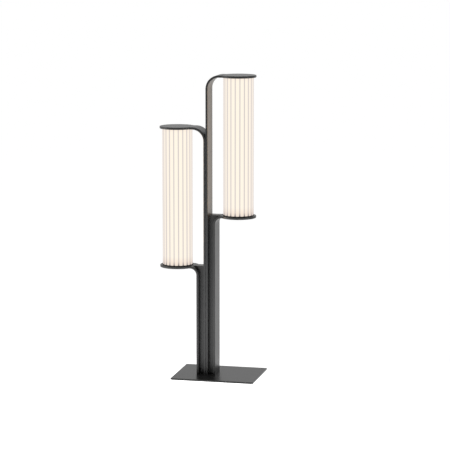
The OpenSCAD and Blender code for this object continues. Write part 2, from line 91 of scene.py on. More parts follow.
class Slot(Enum):
    """Material slots of the part's record."""

    POWDER_COAT = "powder_coat"
    FLUTED_GLASS = "fluted_glass"
    OPAL_ACRYLIC = "opal_acrylic"
    BLACK_RUBBER = "black_rubber"
    BLACK_PLASTIC = "black_plastic"
    STAINLESS_STEEL = "stainless_steel"
    BARE_ALUMINIUM = "bare_aluminium"
    WHITE_PLASTIC = "white_plastic"
    CIRCUIT_STRIP = "circuit_strip"
    DRIVER_CASE = "driver_case"
    LEAD_SHEATH = "lead_sheath"


class Pick(Enum):
    """Mesh elements that a selection is made of."""

    VERTS = "VERT"
    EDGES = "EDGE"
    FACES = "FACE"


class Shader:
    """A node material under construction, with its Principled surface ready."""

    # Strength of each finer layer of a noise pattern.
    LAYER_SHARE = 0.55

    def __init__(self, name: str) -> None:
        """Start an empty material.

        Args:
            name: Name of the new material.
        """
        self.material = bpy.data.materials.new(name)
        self.material.use_nodes = True
        self.nodes = self.material.node_tree.nodes
        self.links = self.material.node_tree.links
        self.surface = self.nodes["Principled BSDF"]

    def set(self, **values: Any) -> None:
        """Set sockets of the surface, with underscores in place of spaces in their names."""
        for name, value in values.items():
            self.surface.inputs[name.replace("_", " ")].default_value = value

    def link(self, source: Any, target: Any) -> None:
        """Join an output socket to an input socket."""
        self.links.new(source, target)

    def add(self, kind: str, **values: Any) -> Any:
        """Add a node and set its sockets or its own settings.

        Args:
            kind: Node type without its ShaderNode prefix.
            **values: Input sockets by name, with underscores for spaces, or node settings.

        Returns:
            The new node.
        """
        node = self.nodes.new("ShaderNode" + kind)
        for name, value in values.items():
            socket = name.replace("_", " ")
            if socket in node.inputs:
                node.inputs[socket].default_value = value
            else:
                setattr(node, name, value)
        return node

    def place(self, centre: Triple = (0.0, 0.0, 0.0), scale: Triple = (1.0, 1.0, 1.0)) -> Any:
        """Object coordinates centred on a point and scaled.

        Args:
            centre: Point that becomes the origin of the pattern, in metres.
            scale: Scale along each axis.

        Returns:
            The output socket with the coordinates.
        """
        where = self.add("TexCoord")
        moved = self.add("VectorMath", operation="SUBTRACT")
        moved.inputs[1].default_value = centre
        sized = self.add("VectorMath", operation="MULTIPLY")
        sized.inputs[1].default_value = scale
        self.link(where.outputs["Object"], moved.inputs[0])
        self.link(moved.outputs[0], sized.inputs[0])
        return sized.outputs[0]

    def noise(self, coords: Any, scale: float, detail: float = 3.0) -> Any:
        """Noise pattern over coordinates.

        Args:
            coords: Socket with the coordinates.
            scale: Features to the metre.
            detail: Number of finer layers.

        Returns:
            The output socket with the value.
        """
        node = self.add("TexNoise", Scale=scale, Detail=detail, Roughness=self.LAYER_SHARE)
        self.link(coords, node.inputs["Vector"])
        return node.outputs["Fac"]

    def ramp(self, value: Any, stops: Iterable[tuple[float, Triple]]) -> Any:
        """Colour ramp over a value.

        Args:
            value: Socket with the value.
            stops: Places and RGB colours.

        Returns:
            The output socket with the colour.
        """
        node = self.add("ValToRGB")
        band = node.color_ramp.elements
        marks = list(stops)
        while len(band) < len(marks):
            band.new(0.5)
        for stop, (place, colour) in zip(band, marks):
            stop.position = place
            stop.color = (*colour, 1.0)
        self.link(value, node.inputs["Fac"])
        return node.outputs["Color"]

    def spread(self, value: Any, low: float, high: float, start: float = 0.0, end: float = 1.0) -> Any:
        """Map a value from start and end to low and high.

        Args:
            value: Socket with the value.
            low: Result at start.
            high: Result at end.
            start: Value that gives low.
            end: Value that gives high.

        Returns:
            The output socket with the mapped value.
        """
        node = self.add("MapRange", From_Min=start, From_Max=end, To_Min=low, To_Max=high)
        self.link(value, node.inputs["Value"])
        return node.outputs["Result"]

    def less(self, first: Any, second: Any) -> Any:
        """Difference of two values.

        Args:
            first: Socket with the value that is lessened.
            second: Socket with the value that is taken from it.

        Returns:
            The output socket with the difference.
        """
        node = self.add("Math", operation="SUBTRACT")
        self.link(first, node.inputs[0])
        self.link(second, node.inputs[1])
        return node.outputs[0]

    def times(self, first: Any, second: Any) -> Any:
        """Product of two colours, channel by channel.

        Args:
            first: Socket with the one colour.
            second: Socket with the other.

        Returns:
            The output socket with the product.
        """
        node = self.add("VectorMath", operation="MULTIPLY")
        self.link(first, node.inputs[0])
        self.link(second, node.inputs[1])
        return node.outputs[0]

    def bump(self, height: Any, depth: float) -> None:
        """Raise the surface by a height pattern.

        Args:
            height: Socket with the height, 0 to 1.
            depth: Real height of the pattern, in metres.
        """
        node = self.add("Bump", Strength=1.0, Distance=depth)
        self.link(height, node.inputs["Height"])
        self.link(node.outputs["Normal"], self.surface.inputs["Normal"])

    def to(self, socket: str, source: Any) -> None:
        """Join a pattern to a socket of the surface."""
        self.link(source, self.surface.inputs[socket])


@dataclass(frozen=True)
class Grained:
    """Opaque finish with a fine grain: two close colours, uneven gloss and a low bump."""

    name: str
    dark: Triple
    light: Triple
    gloss: Flat
    grain: float
    depth: float
    metallic: float = 0.0
    cloud: float = 9.0
    cloud_detail: float = 4.0
    stretch: Triple = (1.0, 1.0, 1.0)
    ior: float = 1.5

    def build(self) -> bpy.types.Material:
        """Build the shader.

        Returns:
            The material.
        """
        shader = Shader(self.name)
        shader.set(Metallic=self.metallic, IOR=self.ior)
        coords = shader.place(scale=self.stretch)
        fine = shader.noise(coords, self.grain)
        broad = shader.noise(coords, self.cloud, self.cloud_detail)
        shader.to("Base Color", shader.ramp(broad, ((NOISE_LOW, self.dark), (NOISE_HIGH, self.light))))
        shader.to("Roughness", shader.spread(fine, *self.gloss, NOISE_LOW, NOISE_HIGH))
        shader.bump(fine, self.depth)
        return shader.material


@dataclass(frozen=True)
class LitGlass:
    """Ribbed opal glass that glows, bright along the flutes, with rosy grey painted shade in the valleys.

    Its tones follow how far out a point lies, from the valleys (0) to the crests (1), and each has its place
    between them, so that painted shade darkens the valleys. Near the foot they sink towards the foot's
    painted shade, and painted shade dims the glow over a short height at both ends. A thin film tints the
    light on its way out.
    """

    axis: Flat
    foot: float
    top: float
    valley_r: float
    crest_r: float
    name: str = "lit fluted glass"
    body: Triple = (0.01, 0.0098, 0.0095)
    gloss: float = 0.25
    ior: float = 1.5
    film: Triple = (0.885, 0.885, 0.935)
    film_gloss: float = 0.12
    film_ior: float = 1.03
    strength: float = 1.19
    foot_shade: Triple = (0.05, 0.035, 0.03)
    # The valley and flank tones are painted shade in the creases between the flutes.
    valley: tuple[float, Triple] = (0.22, (0.455, 0.39, 0.38))
    flank: tuple[float, Triple] = (0.44, (0.848, 0.795, 0.672))
    crest: tuple[float, Triple] = (0.86, (0.98, 0.886, 0.714))
    valley_floor: float = 0.16
    shade: float = 0.27
    shade_h: float = 15 * MM
    # Painted shade that dims the glow towards the foot and towards the top.
    foot_painted_shade: Triple = (0.87, 0.83, 0.81)
    foot_painted_half_shade: Triple = (0.92, 0.88, 0.865)
    foot_half_shade_h: float = 13 * MM
    foot_fade_h: float = 34 * MM
    top_painted_shade: Triple = (0.985, 0.96, 0.955)
    top_fade_h: float = 16 * MM
    cast: float = 60.0
    cast_stretch: Triple = (1.0, 1.0, 0.25)
    cast_dim: float = 0.97
    cast_depth: float = 0.05 * MM

    def build(self) -> bpy.types.Material:
        """Build the shader.

        Returns:
            The material.
        """
        shader = Shader(self.name)
        shader.set(Roughness=self.gloss, IOR=self.ior, Specular_IOR_Level=0.0)
        shader.set(Coat_Weight=1.0, Coat_IOR=self.film_ior, Coat_Roughness=self.film_gloss,
                   Coat_Tint=(*self.film, 1.0), Emission_Strength=self.strength)
        height = shader.add("SeparateXYZ")
        shader.link(shader.place((0.0, 0.0, self.foot)), height.inputs[0])
        flutes, ends = self.flutes(shader, height.outputs["Z"]), self.ends(shader, height.outputs["Z"])
        shader.to("Emission Color", shader.times(flutes, ends))
        cast = shader.noise(shader.place(scale=self.cast_stretch), self.cast)
        dim = tuple(self.cast_dim * share for share in self.body)
        shader.to("Base Color", shader.ramp(cast, ((NOISE_LOW, dim), (NOISE_HIGH, self.body))))
        shader.bump(cast, self.cast_depth)
        return shader.material

    def flutes(self, shader: Shader, height: Any) -> Any:
        """Tones from the valleys to the crests, with painted shade in the valleys, sunk into painted shade
        at the foot.

        Args:
            shader: Shader that the nodes go into.
            height: Socket with the height over the foot, in metres.

        Returns:
            The output socket with the colour.
        """
        radius = shader.add("VectorMath", operation="LENGTH")
        shader.link(shader.place((*self.axis, 0.0), (1.0, 1.0, 0.0)), radius.inputs[0])
        flute = shader.spread(radius.outputs["Value"], self.valley_floor, 1.0, self.valley_r, self.crest_r)
        shade = shader.spread(height, self.shade, 0.0, 0.0, self.shade_h)
        stops = ((0.0, self.foot_shade), self.valley, self.flank, self.crest)
        return shader.ramp(shader.less(flute, shade), stops)

    def ends(self, shader: Shader, height: Any) -> Any:
        """Share of the glow over the height, less at both ends as painted shade.

        Args:
            shader: Shader that the nodes go into.
            height: Socket with the height over the foot, in metres.

        Returns:
            The output socket with the share of each colour channel.
        """
        length, full = self.top - self.foot, (1.0, 1.0, 1.0)
        return shader.ramp(shader.spread(height, 0.0, 1.0, 0.0, length), (
            (0.0, self.foot_painted_shade), (self.foot_half_shade_h / length, self.foot_painted_half_shade),
            (self.foot_fade_h / length, full), (1.0 - self.top_fade_h / length, full), (1.0, self.top_painted_shade)))


POWDER = Grained(
    "black powder coat", (0.013, 0.013, 0.013), (0.017, 0.017, 0.017), gloss=(0.29, 0.35),
    grain=2200.0, depth=0.02 * MM, ior=1.345)
RUBBER = Grained(
    "black rubber", (0.012, 0.012, 0.012), (0.02, 0.02, 0.02), gloss=(0.6, 0.72),
    grain=1500.0, depth=0.03 * MM)
PLASTIC = Grained(
    "black nylon", (0.014, 0.014, 0.015), (0.02, 0.02, 0.021), gloss=(0.42, 0.5),
    grain=1800.0, depth=0.03 * MM)
STEEL = Grained(
    "stainless steel", (0.5, 0.5, 0.49), (0.6, 0.6, 0.58), gloss=(0.24, 0.36),
    grain=1200.0, depth=0.01 * MM, metallic=1.0)
ALUMINIUM = Grained(
    "bare aluminium", (0.66, 0.67, 0.68), (0.76, 0.77, 0.78), gloss=(0.3, 0.42),
    grain=900.0, depth=0.01 * MM, metallic=1.0, stretch=(1.0, 1.0, 0.04))
WHITE = Grained(
    "white plastic", (0.7, 0.7, 0.68), (0.78, 0.78, 0.76), gloss=(0.4, 0.5),
    grain=900.0, depth=0.02 * MM)
OPAL = Grained(
    "opal acrylic", (0.82, 0.8, 0.76), (0.88, 0.86, 0.82), gloss=(0.28, 0.34),
    grain=700.0, depth=0.01 * MM)
STRIP = Grained(
    "circuit strip", (0.72, 0.7, 0.6), (0.82, 0.8, 0.72), gloss=(0.3, 0.4),
    grain=800.0, depth=0.01 * MM)
DRIVER = Grained(
    "driver case", (0.68, 0.68, 0.66), (0.76, 0.76, 0.74), gloss=(0.45, 0.55),
    grain=1000.0, depth=0.03 * MM)
PHOSPHOR = Grained(
    "phosphor", (0.80, 0.58, 0.10), (0.86, 0.66, 0.16), gloss=(0.3, 0.36),
    grain=1600.0, depth=0.01 * MM)
SHEATH = Grained(
    "lead sheath", (0.6, 0.6, 0.58), (0.68, 0.68, 0.66), gloss=(0.4, 0.5),
    grain=700.0, depth=0.02 * MM)

FINISHES: dict[Slot, Grained] = {
    Slot.POWDER_COAT: POWDER, Slot.BLACK_RUBBER: RUBBER, Slot.BLACK_PLASTIC: PLASTIC,
    Slot.STAINLESS_STEEL: STEEL, Slot.BARE_ALUMINIUM: ALUMINIUM, Slot.WHITE_PLASTIC: WHITE,
    Slot.OPAL_ACRYLIC: OPAL, Slot.CIRCUIT_STRIP: STRIP, Slot.DRIVER_CASE: DRIVER,
    Slot.LEAD_SHEATH: SHEATH,
}


def deselect_all() -> None:
    """Leave edit mode with nothing selected, so an operator acts on the new piece alone."""
    if bpy.context.mode != "OBJECT":
        bpy.ops.object.mode_set(mode="OBJECT")
    bpy.ops.object.select_all(action="DESELECT")


def select_only(obj: bpy.types.Object) -> None:
    """Select one object and make it the active one.

    Args:
        obj: Object that the next operator acts on.
    """
    deselect_all()
    obj.select_set(True)
    bpy.context.view_layer.objects.active = obj


class Workpiece:
    """A mesh that is shaped in edit mode with operators, as by hand."""

    def __init__(self, name: str) -> None:
        """Adopt the active object, which a primitive operator has just added.

        Args:
            name: Name of the piece.
        """
        self.obj = bpy.context.object
        self.obj.name = name
        self.obj.data.name = name
        bpy.ops.object.transform_apply(location=True, rotation=True, scale=True)
        bpy.ops.object.mode_set(mode="EDIT")

    def pick(self, kind: Pick, test: Callable[[Any], bool]) -> None:
        """Select the elements that pass a test, and nothing else.

        Args:
            kind: What is selected.
            test: Takes a BMesh vertex, edge or face.
        """
        bpy.ops.mesh.select_mode(type=kind.value)
        bpy.ops.mesh.select_all(action="DESELECT")
        mesh = bmesh.from_edit_mesh(self.obj.data)
        pool = {Pick.VERTS: mesh.verts, Pick.EDGES: mesh.edges, Pick.FACES: mesh.faces}[kind]
        for item in filter(test, pool):
            item.select_set(True)
        mesh.select_flush_mode()
        bmesh.update_edit_mesh(self.obj.data)

    def reshape(self, spots: list[Vector]) -> None:
        """Move the vertices of the one outline in the mesh, in their order, to new places.

        Args:
            spots: One place for each vertex, all the way round.
        """
        mesh = bmesh.from_edit_mesh(self.obj.data)
        mesh.verts.ensure_lookup_table()
        for vert, spot in zip(mesh.verts, spots):
            vert.co = spot
        bmesh.update_edit_mesh(self.obj.data)

    def spin(self, centre: Vector, axis: Vector, angle: float, steps: int) -> None:
        """Sweep the selection round an axis, and join the ends of a full turn.

        Args:
            centre: Point on the axis.
            axis: Direction of the axis.
            angle: Angle of the sweep, in radians.
            steps: Facets along the sweep.
        """
        bpy.ops.mesh.spin(steps=steps, angle=angle, center=centre, axis=axis)
        if abs(angle) >= TURN:
            self.weld()

    def repeat(self, centre: Vector, axis: Vector, count: int) -> None:
        """Repeat the selection round an axis, evenly.

        Args:
            centre: Point on the axis.
            axis: Direction of the axis.
            count: How many there are of it in the end.
        """
        share = (count - 1) / count
        bpy.ops.mesh.spin(steps=count - 1, dupli=True, angle=TURN * share, center=centre, axis=axis)

    def stack(self, rise: float, count: int) -> None:
        """Repeat the selection upwards and select all of it.

        Args:
            rise: Height from one to the next, in metres.
            count: How many there are of it in the end.
        """
        for _ in range(count - 1):
            bpy.ops.mesh.duplicate_move(TRANSFORM_OT_translate={"value": (0.0, 0.0, rise)})
        bpy.ops.mesh.select_all(action="SELECT")

    def weld(self, gap: float = NEAR) -> None:
        """Merge doubled vertices and turn every face outwards.

        Args:
            gap: Vertices closer than this are merged, in metres.
        """
        bpy.ops.mesh.select_all(action="SELECT")
        bpy.ops.mesh.remove_doubles(threshold=gap)
        bpy.ops.mesh.normals_make_consistent(inside=False)

    def carve(self, cutter: "Workpiece") -> None:
        """Cut another workpiece out of this one, and remove that one.

        Args:
            cutter: The other workpiece.
        """
        select_only(self.obj)
        bpy.ops.object.modifier_add(type="BOOLEAN")
        cut = self.obj.modifiers[-1]
        cut.object, cut.operation, cut.solver = cutter.obj, "DIFFERENCE", "EXACT"
        bpy.ops.object.modifier_apply(modifier=cut.name)
        select_only(cutter.obj)
        bpy.ops.object.delete()
        select_only(self.obj)
        bpy.ops.object.mode_set(mode="EDIT")

    def done(self, slot: Slot, material: bpy.types.Material, *replaced: str,
             angle: float = 35.0, even: bool = False) -> None:
        """Leave edit mode, smooth the shading and hand the piece to the frame.

        Args:
            slot: Slot of the record that the piece takes its finish from; not used.
            material: Its material.
            *replaced: CAD nodes that the piece stands for.
            angle: Edges sharper than this stay sharp, in degrees.
            even: Whether wide faces shade evenly right up to their rounded edges.
        """
        bpy.ops.object.mode_set(mode="OBJECT")
        bpy.ops.object.shade_smooth_by_angle(angle=math.radians(angle))
        if even:
            bpy.ops.object.modifier_add(type="WEIGHTED_NORMAL")
            self.obj.modifiers[-1].keep_sharp = True
            bpy.ops.object.modifier_apply(modifier=self.obj.modifiers[-1].name)
        self.obj.data.materials.clear()
        self.obj.data.materials.append(material)
        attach(self.obj, BODY)
        if replaced:
            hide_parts(*replaced)
        self.obj.select_set(False)
        log.info("%s: %d faces", self.obj.name, len(self.obj.data.polygons))


def outline(name: str, spots: list[Vector], filled: bool = False) -> Workpiece:
    """Start a piece from a closed outline.

    Args:
        name: Name of the piece.
        spots: Corners of the outline, all the way round.
        filled: Whether the outline carries a face.

    Returns:
        The workpiece, in edit mode, with the outline selected.
    """
    deselect_all()
    fill = "NGON" if filled else "NOTHING"
    bpy.ops.mesh.primitive_circle_add(vertices=len(spots), fill_type=fill)
    piece = Workpiece(name)
    piece.reshape(spots)
    bpy.ops.mesh.select_all(action="SELECT")
    return piece


def pushed(name: str, spots: list[Vector], rise: float) -> Workpiece:
    """Push a level outline upwards into a closed body.

    Args:
        name: Name of the piece.
        spots: Corners of the outline, all the way round.
        rise: Height of the body, in metres.

    Returns:
        The workpiece, in edit mode.
    """
    piece = outline(name, spots, filled=True)
    bpy.ops.mesh.extrude_region_move(TRANSFORM_OT_translate={"value": (0.0, 0.0, rise)})
    piece.weld()
    return piece


def turned(name: str, centre: Vector, axis: Vector, profile: Iterable[Flat], steps: int) -> Workpiece:
    """Turn a closed profile round an axis, as on a lathe.

    Args:
        name: Name of the piece.
        centre: Point on the axis where the profile's height is nought.
        axis: Direction of the axis.
        profile: Radius and height of each corner, in millimetres.
        steps: Facets in the full turn.

    Returns:
        The workpiece, in edit mode.
    """
    side = axis.orthogonal().normalized()
    spots = [centre + side * (radius * MM) + axis * (height * MM) for radius, height in profile]
    piece = outline(name, spots)
    piece.spin(centre, axis, TURN, steps)
    return piece


def arc(centre: Flat, radius: float, start: float, end: float, steps: int) -> list[Flat]:
    """Points on a circular arc from one angle to another, in degrees, both ends included."""
    angles = [math.radians(start + (end - start) * step / steps) for step in range(steps + 1)]
    return [(centre[0] + radius * math.cos(angle), centre[1] + radius * math.sin(angle)) for angle in angles]


def ring(radius: float, steps: int, start: float = 0.0) -> list[Flat]:
    """Points all round a circle about 0, 0, from an angle in degrees."""
    return arc((0.0, 0.0), radius, start, start + 360.0, steps)[:-1]


def is_level(edge: Any) -> bool:
    """Whether both ends of an edge lie at one height."""
    return abs(edge.verts[0].co.z - edge.verts[1].co.z) < NEAR


@dataclass
class BentArm:
    """One arm of flat bar: a round plate with filleted inside corners, one bend, and the upright.

    Its sizes are in millimetres. The groove for the glass has its inner and outer radius and its
    depth, and `over` is how far a cutter reaches past the face that it opens.
    """

    side: Side
    stem: str
    face_x: float
    bend_r: float
    joint_x: float = -45.0
    reach: float = 123.5
    bar_w: float = 82.0
    bar_t: float = 9.0
    bend_steps: int = 20
    plate_r: float = 70.0
    plate_steps: int = 96
    corner_r: float = 5.0
    corner_steps: int = 6
    edge_r: float = 2.0
    edge_steps: int = 5
    rod_hole_r: float = 4.15
    rod_hole_depth: float = 6.15
    nut_r: float = 9.0
    nut_depth: float = 5.3
    hole_steps: int = 60
    groove: Triple = (51.7, 60.8, 3.5)
    groove_steps: int = 128
    lead_w: float = 4.6
    lead_depth: float = 6.9
    lead_end_x: float = -12.7
    lead_steps: int = 12
    over: float = 1.0

    def plan(self) -> list[Flat]:
        """Outline of the plate and the start of its bar, seen from above, with the light at 0, 0.

        Returns:
            The corners in millimetres, anticlockwise from the front of the bar's cut end.
        """
        half = self.bar_w / 2
        corner_y = half + self.corner_r
        corner_x = -math.sqrt((self.plate_r + self.corner_r) ** 2 - corner_y ** 2)
        turn = math.degrees(math.atan2(corner_y, -corner_x))
        end_x = self.face_x + self.bend_r + self.bar_t - self.reach
        spots = [(end_x, -half)]
        spots += arc((corner_x, -corner_y), self.corner_r, 90.0, turn, self.corner_steps)
        spots += arc((0.0, 0.0), self.plate_r, turn - 180.0, 180.0 - turn, self.plate_steps)[1:]
        spots += arc((corner_x, corner_y), self.corner_r, -turn, -90.0, self.corner_steps)[1:]
        return spots + [(end_x, half)]

    def build(self, material: bpy.types.Material) -> None:
        """Model the arm and let it stand for its CAD node.

        Args:
            material: Finish of the arm.
        """
        node = self.side.node(self.stem)
        low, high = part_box(node)
        way = 1.0 if self.side is Side.TALL else -1.0
        light_x = (self.joint_x + way * self.reach) * MM
        under = high.z - self.bar_t * MM
        spots = [Vector((light_x + way * x * MM, y * MM, under)) for x, y in self.plan()]
        piece = pushed(node + "_bent", spots, self.bar_t * MM)
        end_x = spots[0].x

        def at_cut(item: Any) -> bool:
            """Whether an edge or face lies in the cut end of the bar, where the bend begins."""
            return all(abs(vert.co.x - end_x) < NEAR for vert in item.verts)

        piece.pick(Pick.EDGES, lambda edge: is_level(edge) and not at_cut(edge))
        bpy.ops.mesh.bevel(
            offset=self.edge_r * MM, segments=self.edge_steps, affect="EDGES", clamp_overlap=False)
        piece.pick(Pick.FACES, at_cut)
        bpy.ops.mesh.delete(type="ONLY_FACE")
        piece.pick(Pick.EDGES, at_cut)
        centre = Vector((end_x, 0.0, under - self.bend_r * MM))
        piece.spin(centre, Vector((0.0, 1.0, 0.0)), way * TURN / 4, self.bend_steps)
        bpy.ops.mesh.extrude_region_move(TRANSFORM_OT_translate={"value": (0.0, 0.0, low.z - centre.z)})
        bpy.ops.mesh.edge_face_add()
        piece.weld()
        light = Vector((light_x, 0.0, under))
        for cutter in self.cutters(light, way):
            piece.carve(cutter)
        piece.done(Slot.POWDER_COAT, material, node, even=True)

    def cutters(self, light: Vector, way: float) -> Iterator[Workpiece]:
        """Make the shapes that are cut from the arm, one after the other.

        Args:
            light: Point on the light's axis in the plate's under face.
            way: 1 where the light stands on the right of the columns, or else -1.

        Yields:
            Each cutter, in edit mode.
        """
        def drill(flat: list[Flat], level: float, top: float) -> Workpiece:
            """Make an upright cutter from an outline round the light's axis, in millimetres."""
            spots = [light + Vector((way * x * MM, y * MM, level * MM)) for x, y in flat]
            return pushed("drill", spots, (top - level) * MM)

        rod_hole = ring(self.rod_hole_r, self.hole_steps)
        below, above = -self.over, self.bar_t + self.over
        if self.stem == "upper_arm":
            inner, outer, depth = self.groove
            profile = [(inner, below), (outer, below), (outer, depth), (inner, depth)]
            yield turned("groove", light, UP, profile, self.groove_steps)
            yield drill(rod_hole, below, self.rod_hole_depth)
            return
        yield drill(ring(self.nut_r, self.hole_steps), below, self.nut_depth)
        yield drill(rod_hole, below, above)
        half, far = self.lead_w / 2, self.face_x - self.reach
        rounded = arc((self.lead_end_x, 0.0), half, -90.0, 90.0, self.lead_steps)
        yield drill([(far, -half), *rounded, (far, half)], self.bar_t - self.lead_depth, above)


@dataclass
class CableGland:
    """Cable gland without its cord: threaded stem, hexagon, ribbed cap nut and rubber seal.

    Its sizes are in millimetres. The profiles hold radius and height over the rear cover's face.
    A crest of the thread counts its heights from its own foot, the skirt and the grooves of the
    cap nut from the cap's foot, and its mouth from its top.
    """

    node: str = "cable_gland"
    cover_y: float = 20.0
    steps: int = 48
    smooth: float = 25.0
    bore_r: float = 3.0
    stem_foot: float = -8.0
    thread_foot: float = -7.9
    thread_pitch: float = 1.5
    thread_turns: int = 5
    thread_crest: tuple[Flat, ...] = ((5.3, 0.0), (5.95, 0.55), (5.95, 0.8), (5.3, 1.35))
    neck: tuple[Flat, ...] = ((5.6, -0.2), (5.6, 0.2), (6.2, 0.2), (6.2, 6.3), (3.0, 6.3))
    seal: tuple[Flat, ...] = ((3.0, 13.6), (3.0, 15.1), (3.15, 15.35), (3.5, 15.35), (3.5, 13.6))
    hexagon_af: float = 15.0
    hexagon_t: float = 5.0
    chamfer: float = 0.45
    chamfer_steps: int = 2
    cap_bore_r: float = 3.5
    cap_foot: float = 6.0
    cap_r: float = 7.2
    cap_top: float = 16.0
    cap_ease: float = 0.4
    mouth: tuple[Flat, ...] = ((3.9, 0.0), (3.6, -0.3), (3.5, -0.8))
    dome_r: float = 3.0
    dome_steps: int = 8
    skirt: Flat = (0.9, 5.2)
    ribs: int = 18
    rib_steps: int = 4
    rib_depth: float = 0.45
    groove_rise: Flat = (0.5, 5.5)
    groove_share: Flat = (0.4, 0.9)

    def build(self, plastic: bpy.types.Material, rubber: bpy.types.Material) -> None:
        """Model the gland's three pieces and let them stand for its CAD node.

        Args:
            plastic: Finish of the body and the cap nut.
            rubber: Finish of the seal.
        """
        low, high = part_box(self.node)
        centre = Vector(((low.x + high.x) / 2, self.cover_y * MM, (low.z + high.z) / 2))
        axis = Vector((0.0, 1.0, 0.0))
        self.stem(centre, axis, plastic)
        self.hexagon(centre, plastic)
        self.cap(centre, axis, plastic)
        turned("cable_gland_seal", centre, axis, self.seal, self.steps).done(Slot.BLACK_RUBBER, rubber)

    def stem(self, centre: Vector, axis: Vector, plastic: bpy.types.Material) -> None:
        """Turn the stem, with its thread inside the column and its neck outside.

        Args:
            centre: Point on the gland's axis in the rear cover's face.
            axis: Direction of the axis, out of the column.
            plastic: Finish of the stem.
        """
        profile = [(self.bore_r, self.stem_foot)]
        for turn in range(self.thread_turns):
            foot = self.thread_foot + self.thread_pitch * turn
            profile += [(radius, foot + rise) for radius, rise in self.thread_crest]
        piece = turned("cable_gland_stem", centre, axis, [*profile, *self.neck], self.steps)
        piece.done(Slot.BLACK_PLASTIC, plastic, self.node, angle=self.smooth)

    def hexagon(self, centre: Vector, plastic: bpy.types.Material) -> None:
        """Model the hexagon that bears on the rear cover, its ends chamfered.

        Args:
            centre: Point on the gland's axis in the rear cover's face.
            plastic: Finish of the hexagon.
        """
        width, length = self.hexagon_af * MM, self.hexagon_t * MM
        deselect_all()
        bpy.ops.mesh.primitive_cylinder_add(
            vertices=6, radius=width / math.sqrt(3), depth=length,
            location=centre + Vector((0.0, length / 2, 0.0)),
            rotation=(math.radians(90), math.radians(30), 0.0))
        piece = Workpiece("cable_gland_hexagon")
        piece.pick(Pick.EDGES, lambda edge: True)
        bpy.ops.mesh.bevel(offset=self.chamfer * MM, segments=self.chamfer_steps, affect="EDGES")
        piece.weld()
        piece.done(Slot.BLACK_PLASTIC, plastic, angle=self.smooth, even=True)

    def cap(self, centre: Vector, axis: Vector, plastic: bpy.types.Material) -> None:
        """Turn the domed cap nut and press the grip ribs into its skirt.

        Args:
            centre: Point on the gland's axis in the rear cover's face.
            axis: Direction of the axis, out of the column.
            plastic: Finish of the cap nut.
        """
        profile = [(self.cap_bore_r, self.cap_foot), (self.cap_r - self.cap_ease, self.cap_foot)]
        profile += [(self.cap_r, self.cap_foot + rise) for rise in (self.cap_ease, *self.skirt)]
        profile += arc((self.cap_r - self.dome_r, self.cap_top - self.dome_r), self.dome_r, 0.0, 90.0,
                       self.dome_steps)
        profile += [(radius, self.cap_top + rise) for radius, rise in self.mouth]
        piece = turned("cable_gland_cap", centre, axis, profile, self.ribs * self.rib_steps)
        pitch = TURN / self.ribs
        foot, top = (self.cap_foot + rise for rise in self.groove_rise)
        start, end = (pitch * share for share in self.groove_share)

        def in_groove(vert: Any) -> bool:
            """Whether a vertex of the skirt lies in a groove between two ribs.

            Args:
                vert: A BMesh vertex.

            Returns:
                True in a groove.
            """
            across = vert.co - centre
            turn = math.atan2(across.z, across.x) % pitch
            return foot < across.dot(axis) / MM < top and start < turn < end

        piece.pick(Pick.VERTS, in_groove)
        share = 1.0 - self.rib_depth / self.cap_r
        bpy.ops.transform.resize(value=(share, 1.0, share), center_override=centre)
        piece.done(Slot.BLACK_PLASTIC, plastic, angle=self.smooth)


